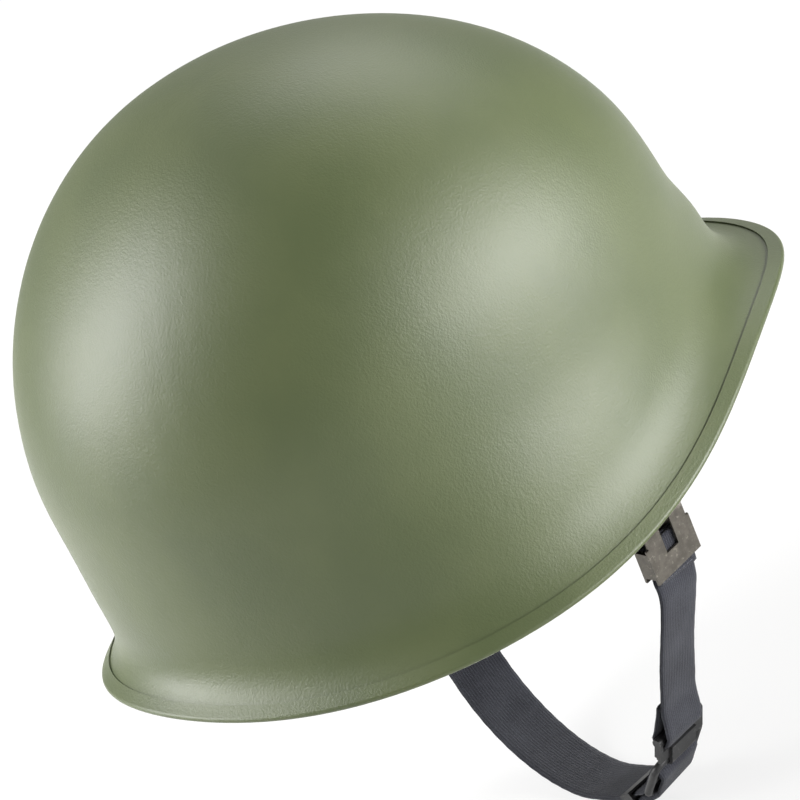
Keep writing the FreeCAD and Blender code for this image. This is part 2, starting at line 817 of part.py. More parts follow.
def yoke_seat(angle):
    return seat(angle, row_at(math.radians(angle), YOKE_LEVEL), LINER_IN)


def rivet_level():
    return YOKE_RISE - 5.0


def make_yokes():
    inset = yoke_inset()
    half = YOKE_WIDTH / 2
    group = []
    for angle in yoke_angles():
        outline = [V(-half, -YOKE_FALL, 0), V(half, -YOKE_FALL, 0), V(half, -YOKE_FALL + 4, 0),
                   V(half * 0.4, YOKE_RISE, 0), V(-half * 0.4, YOKE_RISE, 0), V(-half, -YOKE_FALL + 4, 0)]
        face = Part.Face(Part.makePolygon(outline + [outline[0]]))
        plate = face.extrude(V(0, 0, -YOKE_SHEET))
        plate = plate.cut(box(-half + 2.5, half - 2.5, -YOKE_FALL + 2.2, -YOKE_FALL + 4.6, -5, 5))
        plate = plate.cut(rod(RIVET_SHANK / 2 + FIT_GAP, 10, V(0, rivet_level(), 0), V(0, 0, 1)))
        plate.translate(V(0, 0, -inset))
        group.append(placed(plate, yoke_seat(angle)))
    add("suspension_yokes", Part.makeCompound(group))


def outer_rise(place, angle, y):
    # local height of the liner's outer face over the point (0, y) of a seat
    back = place.inverse()
    best = None
    for j in range(61):
        p = back.multVec(skin(math.radians(angle), row_at(math.radians(angle), YOKE_LEVEL - 12 + j * 0.5),
                              LINER_OUT))
        if best is None or abs(p.y - y) < abs(best.y - y):
            best = p
    return best.z


def make_yoke_rivets():
    depth = yoke_inset() + YOKE_SHEET
    group = []
    for angle in yoke_angles():
        y = rivet_level()
        top = outer_rise(yoke_seat(angle), angle, y) + 0.3
        shank = Part.makeCylinder(RIVET_SHANK / 2, depth + top + 0.1, V(0, y, -depth - 0.1), V(0, 0, 1))
        outside = Part.makeCylinder(RIVET_HEAD / 2, RIVET_HEAD_THICK, V(0, y, top), V(0, 0, 1))
        inside = Part.makeCylinder(RIVET_HEAD / 2, RIVET_HEAD_THICK, V(0, y, -depth - RIVET_HEAD_THICK - 0.02),
                                   V(0, 0, 1))
        group.append(placed(fused([shank, outside, inside]), yoke_seat(angle)))
    add("yoke_rivets", Part.makeCompound(group))
    return group


def web_depth():
    lean = rivet_level() * math.sin(math.radians(max(WALL_LEAN)))
    return LINER_IN + yoke_inset() + YOKE_SHEET + RIVET_HEAD_THICK + SOFT_GAP + WEB_THICK / 2 + lean + 0.2


def headband_depth():
    return web_depth() + WEB_THICK + SOFT_GAP


def band_points():
    # plan of the headband: close to the wall at each yoke, straight between them
    points = []
    angles = yoke_angles()
    hold = 8.0

    def near(angle):
        t = math.radians(angle)
        p = skin(t, row_at(t, YOKE_LEVEL), headband_depth())
        return V(p.x, p.y, 0)
    for k in range(len(angles)):
        here = angles[k]
        after = here + YOKE_STEP
        points += [near(here - hold), near(here), near(here + hold)]
        a = near(here + hold)
        b = near(after - hold)
        points += [a + (b - a) * 0.3, a + (b - a) * 0.5, a + (b - a) * 0.7]
    return points


def offset_ring(points, distance, height):
    # ring moved inward by a distance and raised to a height
    ring = []
    count = len(points)
    for k in range(count):
        t = points[(k + 1) % count] - points[k - 1]
        t.normalize()
        inward = UP.cross(t)
        p = points[k] + inward * distance
        ring.append(V(p.x, p.y, height))
    return ring


def band_solid(low, high, outer, inner):
    points = band_points()
    points = points[15:] + points[:15]
    a = offset_ring(points, outer, low)
    b = offset_ring(points, outer, high)
    c = offset_ring(points, inner, high)
    d = offset_ring(points, inner, low)
    places = [0.0]
    for k in range(len(points)):
        places.append(places[-1] + (points[(k + 1) % len(points)] - points[k]).Length)
    return ring_solid([[a, b], [b, c], [c, d], [d, a]], places)


def sweatband_faces():
    outer = WEB_THICK / 2 + SOFT_GAP
    return outer, outer + SWEATBAND_THICK


def make_bands():
    half = HEADBAND_HEIGHT / 2
    add("headband_webbing", band_solid(HEADBAND_LEVEL - half, HEADBAND_LEVEL + half,
                                       -WEB_THICK / 2, WEB_THICK / 2))
    outer, inner = sweatband_faces()
    half = SWEATBAND_HEIGHT / 2
    add("sweatband", band_solid(SWEATBAND_LEVEL - half, SWEATBAND_LEVEL + half, outer, inner))


def chord_frame(index):
    # X along the chord, Y up, Z outward, at the middle of a straight stretch of the headband
    points = band_points()
    mid = index * 6 + 4
    x = points[mid + 1] - points[mid - 1]
    return frame_at(points[mid], x, UP)


def make_band_clips():
    outer, inner = sweatband_faces()
    top = SWEATBAND_LEVEL + SWEATBAND_HEIGHT / 2
    half = BAND_CLIP_WIDTH / 2
    gap = 0.2
    sheet = BAND_CLIP_SHEET
    front = -(WEB_THICK / 2 + gap)
    back = inner + gap
    group = []
    for index in (0, 1, 3, 4, 5):
        head = top + gap
        leg = box(-half, half, top - BAND_CLIP_DEPTH, head + sheet, -front, -front + sheet)
        bridge = box(-half, half, head, head + sheet, -back - sheet, -front + sheet)
        hook = box(-half, half, top - BAND_CLIP_DEPTH, head + sheet, -back - sheet, -back)
        group.append(placed(fused([leg, bridge, hook]), chord_frame(index)))
    add("sweatband_clips", Part.makeCompound(group))
    width, height, thick = BAND_BUCKLE
    face = -(inner + gap)
    mid = SWEATBAND_LEVEL
    plate = box(-width / 2, width / 2, mid - height / 2, mid + height / 2, face - thick, face)
    for x in (-1, 1):
        x0 = min(x * 1.5, x * (width / 2 - 2.5))
        x1 = max(x * 1.5, x * (width / 2 - 2.5))
        plate = plate.cut(box(x0, x1, mid - height / 2 + 2.5, mid + height / 2 - 2.5, face - thick - 1, face + 1))
    add("sweatband_buckle", placed(plate, chord_frame(2)))


def make_crown_webs():
    centre = V(0, DOME_CENTRE_Y, 0)
    for index in range(3):
        ends = []
        for angle in (yoke_angles()[index], yoke_angles()[index + 3]):
            t = math.radians(angle)
            p = skin(t, row_at(t, YOKE_LEVEL), web_depth())
            ends.append(V(p.x, p.y, 0))
        layer = (1, 0, 2)[index]
        apex = CROWN_WEB_APEX + layer * (WEB_THICK + 3 * SOFT_GAP)
        out = [(e - centre) for e in ends]
        wide = []
        foot = []
        for k in (0, 1):
            d = V(out[k])
            d.normalize()
            wide.append(UP.cross(d) * (1 - 2 * k))
            x = yoke_seat(yoke_angles()[index + 3 * k]).Rotation.multVec(V(1, 0, 0))
            foot.append(x if x.dot(wide[k]) > 0 else x * -1)
        path = []
        for k in (0, 1):
            leg = [(centre + out[k] + UP * CROWN_WEB_FOOT, foot[k])]
            for j in range(0, 15):
                a = math.pi / 2 * (1 - j / 14.0)
                p = centre + out[k] * math.sin(a) + UP * (WEB_RISE + (apex - WEB_RISE) * math.cos(a))
                turn = ease(math.cos(a) / 0.7)
                mean = wide[0] + wide[1]
                side = mean * (0.5 * ease(math.cos(a))) + wide[k] * (1 - ease(math.cos(a)))
                leg.append((p, foot[k] * (1 - turn) + side * turn))
            if k == 1:
                leg = leg[:-1][::-1]
            path += leg
        points = [p for p, w in path]
        samples = []
        for j in range(len(points)):
            t = points[min(j + 1, len(points) - 1)] - points[max(j - 1, 0)]
            t.normalize()
            w = path[j][1]
            w = w - t * w.dot(t)
            w.normalize()
            samples.append((points[j], w, t.cross(w), CROWN_WEB_WIDTH, WEB_THICK))
        add("crown_web_" + str(index + 1), strip(samples))


def stud(seat_at, stand):
    # rivet through the liner with a cap that stands inside, seat_at on the inner face of the liner
    shank = Part.makeCylinder(RIVET_SHANK / 2, stand + LINER_WALL + 0.1, V(0, 0, -stand - 0.05), V(0, 0, 1))
    outside = Part.makeCylinder(RIVET_HEAD / 2, RIVET_HEAD_THICK, V(0, 0, LINER_WALL + 0.02), V(0, 0, 1))
    cap = Part.makeCylinder(STUD_CAP / 2, STUD_CAP_THICK, V(0, 0, -stand - STUD_CAP_THICK), V(0, 0, 1))
    return placed(fused([shank, outside, cap]), seat_at)


def nape_gap():
    return wall_stand(180 - NAPE_SPREAD, NAPE_LEVEL, 9.0, -NAPE_WEB_HEIGHT / 2, NAPE_WEB_HEIGHT / 2)


def nape_stand():
    return nape_gap() + WEB_THICK + SOFT_GAP


def make_nape_strap():
    depth = LINER_IN + nape_gap() + WEB_THICK / 2
    points = []
    for angle in (180 - NAPE_SPREAD - 5, 180 - NAPE_SPREAD, 180 - NAPE_SPREAD + 5):
        t = math.radians(angle)
        p = skin(t, row_at(t, NAPE_LEVEL), depth)
        points.append(V(p.x, p.y, NAPE_LEVEL))
    other = [V(-p.x, p.y, p.z) for p in reversed(points)]
    curve = Part.BSplineCurve()
    curve.interpolate(points + [V(0, NAPE_REACH, NAPE_LEVEL)] + other)
    samples = []
    for k in range(25):
        u = curve.parameterAtDistance(curve.length() * k / 24.0, curve.FirstParameter)
        t = curve.tangent(u)[0]
        samples.append((curve.value(u), UP, t.cross(UP), NAPE_WEB_HEIGHT, WEB_THICK))
    web = strip(samples)
    holes = []
    studs = []
    for angle in (180 - NAPE_SPREAD, 180 + NAPE_SPREAD):
        place = seat(angle, row_at(math.radians(angle), NAPE_LEVEL), LINER_IN)
        studs.append(stud(place, nape_stand()))
        holes.append(placed(rod(RIVET_SHANK / 2 + 0.2, 12, V(0, 0, 0), V(0, 0, 1)), place))
    add("nape_strap", web.cut(Part.makeCompound(holes)))
    add("nape_studs", Part.makeCompound(studs))
    return holes


def make_liner_studs():
    studs = []
    holes = []
    for angle in (STUD_STATION, 360 - STUD_STATION):
        place = seat(angle, row_at(math.radians(angle), STUD_LEVEL), LINER_IN)
        studs.append(stud(place, 2.6))
        holes.append(placed(rod(RIVET_SHANK / 2 + FIT_GAP, 12, V(0, 0, 0), V(0, 0, 1)), place))
    add("liner_strap_studs", Part.makeCompound(studs))
    return holes


def make_eyelet():
    place = seat(0, row_at(0.0, EYELET_LEVEL), LINER_IN)
    r = EYELET_BORE / 2 + EYELET_SHEET
    tube = rod(r, LINER_WALL + EYELET_SHEET + 0.5, V(0, 0, LINER_WALL / 2 - 0.1), V(0, 0, 1))
    front = Part.makeCylinder(EYELET_OUTER / 2, EYELET_SHEET, V(0, 0, LINER_WALL + 0.08), V(0, 0, 1))
    back = Part.makeCylinder(EYELET_OUTER / 2, EYELET_SHEET, V(0, 0, -EYELET_SHEET - sag(EYELET_OUTER, 50.0) - 0.2), V(0, 0, 1))
    shape = fused([tube, front, back]).cut(rod(EYELET_BORE / 2, 20, V(0, 0, 0), V(0, 0, 1)))
    add("liner_eyelet", placed(shape, place))
    return [placed(rod(r + FIT_GAP, 12, V(0, 0, 0), V(0, 0, 1)), place)]


def make_liner(holes):
    shell = cap_solid(LINER_OUT, LINER_IN, liner_low_rows())
    for angle in yoke_angles():
        hole = rod(RIVET_SHANK / 2 + FIT_GAP, 14, V(0, rivet_level(), 0), V(0, 0, 1))
        holes.append(placed(hole, yoke_seat(angle)))
    for hole in holes:
        shell = shell.cut(hole)
    add("liner_shell", shell)


def build():
    make_steel()
    make_edging()
    make_brackets()
    make_bails()
    make_clips()
    make_short_strap()
    make_long_strap()
    make_hook_and_buckle()
    make_tip_and_keeper()
    make_yokes()
    make_yoke_rivets()
    make_bands()
    make_band_clips()
    make_crown_webs()
    holes = make_nape_strap()
    holes += make_liner_studs()
    holes += make_eyelet()
    make_liner(holes)


build()
os.makedirs("parts", exist_ok=True)
for name in PARTS:
    shape = PARTS[name]
    print(name, len(shape.Solids), round(shape.Volume, 1), shape.isValid())
    shape.exportStep("parts/" + name + ".step")
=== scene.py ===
import json
import math
import random

import bmesh
import bpy
import numpy as np
from mathutils import Matrix, Vector


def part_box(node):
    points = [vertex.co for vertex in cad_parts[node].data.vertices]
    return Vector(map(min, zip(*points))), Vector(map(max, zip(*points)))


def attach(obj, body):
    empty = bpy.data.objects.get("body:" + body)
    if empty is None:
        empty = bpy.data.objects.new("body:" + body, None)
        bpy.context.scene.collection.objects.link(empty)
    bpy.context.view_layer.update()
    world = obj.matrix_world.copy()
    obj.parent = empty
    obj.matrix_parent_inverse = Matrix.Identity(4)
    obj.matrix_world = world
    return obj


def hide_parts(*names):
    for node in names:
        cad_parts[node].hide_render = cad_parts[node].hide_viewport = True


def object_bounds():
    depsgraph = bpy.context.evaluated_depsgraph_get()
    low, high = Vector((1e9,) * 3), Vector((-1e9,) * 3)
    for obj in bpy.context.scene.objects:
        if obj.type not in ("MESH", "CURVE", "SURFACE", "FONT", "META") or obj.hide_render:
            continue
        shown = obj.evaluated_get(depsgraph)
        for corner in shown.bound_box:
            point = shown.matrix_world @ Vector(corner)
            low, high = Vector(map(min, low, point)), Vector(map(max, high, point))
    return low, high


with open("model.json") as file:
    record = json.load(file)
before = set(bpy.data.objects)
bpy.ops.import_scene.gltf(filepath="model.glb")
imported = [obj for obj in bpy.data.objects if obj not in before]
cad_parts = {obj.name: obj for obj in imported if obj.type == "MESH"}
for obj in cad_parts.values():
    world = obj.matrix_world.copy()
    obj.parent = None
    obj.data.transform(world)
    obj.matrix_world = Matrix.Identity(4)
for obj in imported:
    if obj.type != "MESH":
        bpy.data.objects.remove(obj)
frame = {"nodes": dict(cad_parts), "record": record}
cad_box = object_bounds()
nodes = frame["nodes"]
rng = random.Random(7)

# Lengths are in millimetres until they become points of a mesh
MM = 0.001

# Webbing and leather
WEB_WIDTH = 19.5
CROWN_WIDTH = 18.0
NAPE_WIDTH = 17.0
WEB_THICK = 1.5
LAYER_LIFT = 0.9
DOUBLING_INSET = 0.5
BAND_GAP = 0.3
LEATHER_THICK = 1.8
LEATHER_SEAM = 2.5

# Shape of the webbing's section: flat faces, then selvedges that fall away
SELVEDGE = 0.93
SELVEDGE_FALL = 0.55
EDGE_WAVE = 0.05
WAVE_RATE = 0.9

# Stitches and fibres
STITCH_RADIUS = 0.2
STITCH_PITCH = 2.2
CROSS_PITCH = 2.0
STITCH_COVER = 0.8
STITCH_ACROSS = 7.6
STITCH_HEIGHT = 0.78
FIBRE_RADIUS = 0.022
# Where the doubled layer is sewn: from its start, short of its end, and the row across it from
# the end that lies away from the clip
SEWN_START = 0.5
SEWN_REST = 1.2
CROSS_REST = 1.4
# Stitches of the sweatband: length and thread radius
LEATHER_STITCH = 2.4
LEATHER_THREAD = 0.22

# Reading the webbing's solids: metres within which points are one, the angle of a sharp edge, and
# the direction in which the first end of a crown web or the nape strap lies
WELD = 2e-6
SHARP = math.radians(50)
WEB_FIRST_END = (1, 0.3, 0)

# Camera of the photograph
CAM_RIGHT = Vector((-0.466788, -0.760178, -0.451927))
CAM_UP = Vector((0.149109, -0.571351, 0.807046))
CAM_BACK = Vector((-0.871708, 0.309333, 0.380050))
CAM_SHIFT = CAM_RIGHT * 0.01728 - CAM_UP * 0.02839
CAM_PLACE = Vector((-3.543258, 1.257357, 1.624800)) + CAM_SHIFT
LENS = 545.0
SENSOR = 36.0

# Light: strength of the world, how much of it is white in reflections, and the point the lamps face
WORLD_LIGHT = 0.26
WORLD_IN_GLOSS = 0.35
FLOOR_GLOW = 0.80
FLOOR_SIZE = 6.0
FLOOR_GAP = 0.0006
LAMP_TARGET = Vector((0.0, 0.0, 0.06))


def new_material(name):
    mat = bpy.data.materials.new(name)
    mat.use_nodes = True
    tree = mat.node_tree
    tree.nodes.clear()
    out = tree.nodes.new("ShaderNodeOutputMaterial")
    shader = tree.nodes.new("ShaderNodeBsdfPrincipled")
    tree.links.new(shader.outputs["BSDF"], out.inputs["Surface"])
    return mat, tree, shader


def put(tree, socket, value):
    if isinstance(value, bpy.types.NodeSocket):
        tree.links.new(value, socket)
    else:
        socket.default_value = value


def math_node(tree, op, a, b=0.0, c=None):
    node = tree.nodes.new("ShaderNodeMath")
    node.operation = op
    put(tree, node.inputs[0], a)
    put(tree, node.inputs[1], b)
    if c is not None:
        put(tree, node.inputs[2], c)
    return node.outputs[0]


def noise(tree, vector, scale, detail=3.0, rough=0.5):
    node = tree.nodes.new("ShaderNodeTexNoise")
    node.inputs["Scale"].default_value = scale
    node.inputs["Detail"].default_value = detail
    node.inputs["Roughness"].default_value = rough
    put(tree, node.inputs["Vector"], vector)
    return node.outputs["Fac"]


def blend_sum(tree, a, share_a, b, share_b):
    first = math_node(tree, "MULTIPLY", a, share_a)
    return math_node(tree, "ADD", first, math_node(tree, "MULTIPLY", b, share_b))


def object_place(tree):
    return tree.nodes.new("ShaderNodeTexCoord").outputs["Object"]


def smooth_mask(tree, value, low, high):
    node = tree.nodes.new("ShaderNodeMapRange")
    node.interpolation_type = "SMOOTHSTEP"
    put(tree, node.inputs["Value"], value)
    node.inputs["From Min"].default_value = low
    node.inputs["From Max"].default_value = high
    return node.outputs["Result"]


def spread(tree, value, low, high):
    # a value from 0 to 1 spread over a range
    node = tree.nodes.new("ShaderNodeMapRange")
    put(tree, node.inputs["Value"], value)
    node.inputs["To Min"].default_value = low
    node.inputs["To Max"].default_value = high
    return node.outputs["Result"]


def mix_colour(tree, factor, a, b):
    node = tree.nodes.new("ShaderNodeMix")
    node.data_type = "RGBA"
    put(tree, node.inputs[0], factor)
    put(tree, node.inputs[6], a)
    put(tree, node.inputs[7], b)
    return node.outputs[2]


def bump(tree, shader, height, strength, distance):
    node = tree.nodes.new("ShaderNodeBump")
    node.inputs["Strength"].default_value = strength
    node.inputs["Distance"].default_value = distance
    put(tree, node.inputs["Height"], height)
    tree.links.new(node.outputs["Normal"], shader.inputs["Normal"])


def rgba(r, g, b):
    return (r, g, b, 1.0)


def separate(tree, vector):
    node = tree.nodes.new("ShaderNodeSeparateXYZ")
    put(tree, node.inputs[0], vector)
    return node.outputs


# Paint: noise cells to the metre, colours, and ranges of roughness
PAINT_GRAIN = 1150.0
PAINT_LUMPS = 420.0
PAINT_PATCHES = 22.0
PAINT_SPECKS = 780.0
PAINT_CHIPS = 190.0
PAINT_DARK = rgba(0.055, 0.073, 0.022)
PAINT_LIGHT = rgba(0.068, 0.086, 0.028)
SPECK_COLOUR = rgba(0.20, 0.23, 0.14)
CHIP_COLOUR = rgba(0.36, 0.39, 0.30)
PAINT_ROUGHNESS = (0.42, 0.50)
COAT_WEIGHT = 0.30
COAT_ROUGHNESS = 0.50


# Satin olive paint with a sanded texture, chipped on edges that face down where it is worn
def paint_material(name, wear):
    mat, tree, shader = new_material(name)
    place = object_place(tree)
    fine = noise(tree, place, PAINT_GRAIN, 3.0, 0.6)
    coarse = noise(tree, place, PAINT_LUMPS, 2.0)
    patch = noise(tree, place, PAINT_PATCHES, 4.0)
    base = mix_colour(tree, smooth_mask(tree, patch, 0.3, 0.7), PAINT_DARK, PAINT_LIGHT)
    speck = smooth_mask(tree, noise(tree, place, PAINT_SPECKS, 4.0, 0.7), 0.70, 0.80)
    base = mix_colour(tree, math_node(tree, "MULTIPLY", speck, 0.35), base, SPECK_COLOUR)
    if wear:
        normal = tree.nodes.new("ShaderNodeNewGeometry").outputs["Normal"]
        down = smooth_mask(tree, math_node(tree, "MULTIPLY", separate(tree, normal)[2], -1.0), 0.55, 0.95)
        chip = smooth_mask(tree, noise(tree, place, PAINT_CHIPS, 6.0, 0.7), 0.50, 0.58)
        lot = math_node(tree, "MULTIPLY", down, chip)
        base = mix_colour(tree, lot, base, CHIP_COLOUR)
    put(tree, shader.inputs["Base Color"], base)
    put(tree, shader.inputs["Roughness"], spread(tree, patch, *PAINT_ROUGHNESS))
    shader.inputs["Coat Weight"].default_value = COAT_WEIGHT
    shader.inputs["Coat Roughness"].default_value = COAT_ROUGHNESS
    both = math_node(tree, "ADD", fine, math_node(tree, "MULTIPLY", coarse, 0.35))
    bump(tree, shader, both, 0.52, 0.00030)
    return mat


# Metal: noise cells to the metre
METAL_BLOTCHES = 260.0
METAL_RUBS = 572.0
METAL_GRAIN = 1900.0


# Dull phosphated or enamelled sheet, with lighter rubbed spots
def metal_material(name, colour, worn, rough, metallic):
    mat, tree, shader = new_material(name)
    place = object_place(tree)
    blotch = noise(tree, place, METAL_BLOTCHES, 5.0, 0.65)
    rub = smooth_mask(tree, noise(tree, place, METAL_RUBS, 5.0, 0.7), 0.56, 0.68)
    base = mix_colour(tree, smooth_mask(tree, blotch, 0.35, 0.7), rgba(*colour),
                      rgba(*[c * 1.45 for c in colour]))
    base = mix_colour(tree, math_node(tree, "MULTIPLY", rub, 0.5), base, rgba(*worn))
    put(tree, shader.inputs["Base Color"], base)
    put(tree, shader.inputs["Roughness"], spread(tree, blotch, rough - 0.08, rough + 0.10))
    shader.inputs["Metallic"].default_value = metallic
    bump(tree, shader, noise(tree, place, METAL_GRAIN, 3.0), 0.25, 0.00010)
    return mat


# Webbing: spacing of the ribs and picks and the length of one UV unit, in millimetres, and noise
# cells to the metre
RIB_PITCH = 0.95
PICK_PITCH = 0.62
UV_UNIT = 100.0
WEB_FIBRES = 2600.0
WEB_FADING = 75.0
WEB_LINT = 1400.0


# Woven webbing: u runs along the strap and v across it, with ribs along it and picks across
def webbing_material(name, dark, light):
    mat, tree, shader = new_material(name)
    uv = tree.nodes.new("ShaderNodeUVMap")
    parts = separate(tree, uv.outputs["UV"])
    u = math_node(tree, "MULTIPLY", parts[0], UV_UNIT)
    v = math_node(tree, "MULTIPLY", parts[1], UV_UNIT)
    row = math_node(tree, "FLOOR", math_node(tree, "DIVIDE", v, RIB_PITCH))
    ribs = math_node(tree, "SINE", math_node(tree, "MULTIPLY", v, math.pi / RIB_PITCH))
    ribs = math_node(tree, "ABSOLUTE", ribs)
    shift = math_node(tree, "MULTIPLY", row, math.pi / 2)
    picks = math_node(tree, "ADD", math_node(tree, "MULTIPLY", u, math.pi / PICK_PITCH), shift)
    picks = math_node(tree, "ABSOLUTE", math_node(tree, "SINE", picks))
    picks = math_node(tree, "ADD", math_node(tree, "MULTIPLY", picks, 0.6), 0.4)
    yarn = math_node(tree, "MULTIPLY", ribs, picks)
    place = object_place(tree)
    fibre = noise(tree, place, WEB_FIBRES, 4.0, 0.7)
    fade = noise(tree, place, WEB_FADING, 4.0)
    height = blend_sum(tree, yarn, 0.6, fibre, 1.1)
    tone = blend_sum(tree, yarn, 0.40, fade, 0.75)
    lint = smooth_mask(tree, noise(tree, place, WEB_LINT, 5.0, 0.75), 0.52, 0.70)
    base = mix_colour(tree, smooth_mask(tree, tone, 0.15, 0.95), rgba(*dark), rgba(*light))
    base = mix_colour(tree, math_node(tree, "MULTIPLY", lint, 0.45), base, rgba(*[c * 1.8 for c in light]))
    put(tree, shader.inputs["Base Color"], base)
    shader.inputs["Roughness"].default_value = 0.88
    shader.inputs["Specular IOR Level"].default_value = 0.2
    shader.inputs["Sheen Weight"].default_value = 0.08
    shader.inputs["Sheen Roughness"].default_value = 0.5
    bump(tree, shader, height, 0.8, 0.00036)
    return mat


# Leather: noise cells to the metre and colours
LEATHER_CELLS = 900.0
LEATHER_STAINS = 40.0
LEATHER_DARK = rgba(0.105, 0.048, 0.022)
LEATHER_LIGHT = rgba(0.20, 0.105, 0.055)
LEATHER_CREASE = rgba(0.06, 0.028, 0.014)


def leather_material(name):
    mat, tree, shader = new_material(name)
    place = object_place(tree)
    cells = tree.nodes.new("ShaderNodeTexVoronoi")
    cells.feature = "DISTANCE_TO_EDGE"
    cells.inputs["Scale"].default_value = LEATHER_CELLS
    put(tree, cells.inputs["Vector"], place)
    crease = smooth_mask(tree, cells.outputs["Distance"], 0.0, 0.18)
    stain = noise(tree, place, LEATHER_STAINS, 5.0, 0.6)
    base = mix_colour(tree, smooth_mask(tree, stain, 0.3, 0.7), LEATHER_DARK, LEATHER_LIGHT)
    base = mix_colour(tree, crease, LEATHER_CREASE, base)
    put(tree, shader.inputs["Base Color"], base)
    shader.inputs["Roughness"].default_value = 0.46
    height = math_node(tree, "ADD", crease, math_node(tree, "MULTIPLY", stain, 0.6))
    bump(tree, shader, height, 0.45, 0.00018)
    return mat


# Laminate: pitch of its weave in metres, noise cells to the metre and colours
LAMINATE_WEAVE = 0.0014
LAMINATE_TONES = 30.0
LAMINATE_GRAIN = 900.0
LAMINATE_DARK = rgba(0.050, 0.058, 0.030)
LAMINATE_LIGHT = rgba(0.075, 0.084, 0.046)


# Pressed laminate of the liner: faint cloth grain under matt paint
def laminate_material(name):
    mat, tree, shader = new_material(name)
    place = object_place(tree)
    axes = separate(tree, place)
    weave = None
    for axis in range(3):
        one = math_node(tree, "SINE", math_node(tree, "MULTIPLY", axes[axis], 2 * math.pi / LAMINATE_WEAVE))
        weave = one if weave is None else math_node(tree, "ADD", weave, one)
    tone = noise(tree, place, LAMINATE_TONES, 5.0, 0.6)
    base = mix_colour(tree, smooth_mask(tree, tone, 0.3, 0.7), LAMINATE_DARK, LAMINATE_LIGHT)
    put(tree, shader.inputs["Base Color"], base)
    shader.inputs["Roughness"].default_value = 0.74
    bump(tree, shader, math_node(tree, "ADD", weave, noise(tree, place, LAMINATE_GRAIN)), 0.25, 0.00010)
    return mat


# Thread: noise cells to the metre
THREAD_STRANDS = 3200.0


def thread_material(name, colour):
    mat, tree, shader = new_material(name)
    place = object_place(tree)
    strand = noise(tree, place, THREAD_STRANDS, 3.0)
    base = mix_colour(tree, strand, rgba(*[c * 0.7 for c in colour]), rgba(*[c * 1.3 for c in colour]))
    put(tree, shader.inputs["Base Color"], base)
    shader.inputs["Roughness"].default_value = 0.8
    bump(tree, shader, strand, 0.4, 0.0001)
    return mat


MATERIALS = {
    "olive_paint": paint_material("olive_paint_look", False),
    "rim_paint": paint_material("rim_paint_look", True),
    "dark_metal": metal_material("dark_metal_look", (0.045, 0.050, 0.030), (0.16, 0.17, 0.12), 0.52, 0.15),
    "gun_metal": metal_material("gun_metal_look", (0.090, 0.082, 0.070), (0.30, 0.28, 0.24), 0.46, 0.75),
    "black_metal": metal_material("black_metal_look", (0.020, 0.020, 0.021), (0.12, 0.12, 0.12), 0.44, 0.35),
    "grey_webbing": webbing_material("grey_webbing_look", (0.0115, 0.0120, 0.017), (0.042, 0.044, 0.054)),
    "olive_webbing": webbing_material("olive_webbing_look", (0.060, 0.058, 0.032), (0.180, 0.170, 0.100)),
    "brown_leather": leather_material("brown_leather_look"),
    "liner_laminate": laminate_material("liner_laminate_look"),
}
GREY_THREAD = thread_material("grey_thread_look", (0.075, 0.078, 0.094))
TAN_THREAD = thread_material("tan_thread_look", (0.32, 0.22, 0.12))

for part in frame["record"]["subparts"]:
    name = part["node"]
    look = MATERIALS["rim_paint" if name == "rim_edging" else part["material_slot"]]
    nodes[name].data.materials.clear()
    nodes[name].data.materials.append(look)


def make_object(name, verts, faces, mat, uvs=None, smooth=True):
    mesh = bpy.data.meshes.new(name)
    mesh.from_pydata([tuple(v) for v in verts], [], faces)
    mesh.update()
    if uvs is not None:
        layer = mesh.uv_layers.new(name="UVMap")
        for loop in mesh.loops:
            layer.data[loop.index].uv = uvs[loop.vertex_index]
    if smooth:
        mesh.polygons.foreach_set("use_smooth", [True] * len(mesh.polygons))
    mesh.materials.append(mat)
    obj = bpy.data.objects.new(name, mesh)
    bpy.context.scene.collection.objects.link(obj)
    return obj


def catmull(points, per, closed=False):
    # smooth path through the points, with about one sample per given length
    pts = np.array(points, float)
    n = len(pts)
    out = []
    last = n if closed else n - 1
    for i in range(last):
        p1 = pts[i]
        p2 = pts[(i + 1) % n]
        p0 = pts[(i - 1) % n] if closed or i > 0 else 2 * p1 - p2
        p3 = pts[(i + 2) % n] if closed or i + 2 < n else 2 * p2 - p1
        count = max(1, int(round(np.linalg.norm((p2 - p1)[:3]) / per)))
        for k in range(count):
            t = k / count
            out.append(0.5 * (2 * p1 + (p2 - p0) * t + (2 * p0 - 5 * p1 + 4 * p2 - p3) * t * t
                              + (3 * p1 - p0 - 3 * p2 + p3) * t * t * t))
    if not closed:
        out.append(pts[-1])
    return np.array(out)


# Sharp edges of a node: each point on one, and the points that its sharp edges lead to
def sharp_links(name):
    mesh = bmesh.new()
    mesh.from_mesh(nodes[name].data)
    bmesh.ops.remove_doubles(mesh, verts=mesh.verts, dist=WELD)
    links = {}
    for edge in mesh.edges:
        if len(edge.link_faces) == 2 and edge.calc_face_angle() > SHARP:
            a, b = [tuple(round(c / MM, 4) for c in vert.co) for vert in edge.verts]
            links.setdefault(a, []).append(b)
            links.setdefault(b, []).append(a)
    mesh.free()
    return links


def follow(links, start, step):
    # points from the start along its edges, to a corner or back to the start
    line = [start, step]
    while len(links[line[-1]]) == 2 and line[-1] != start:
        a, b = links[line[-1]]
        line.append(b if a == line[-2] else a)
    return line


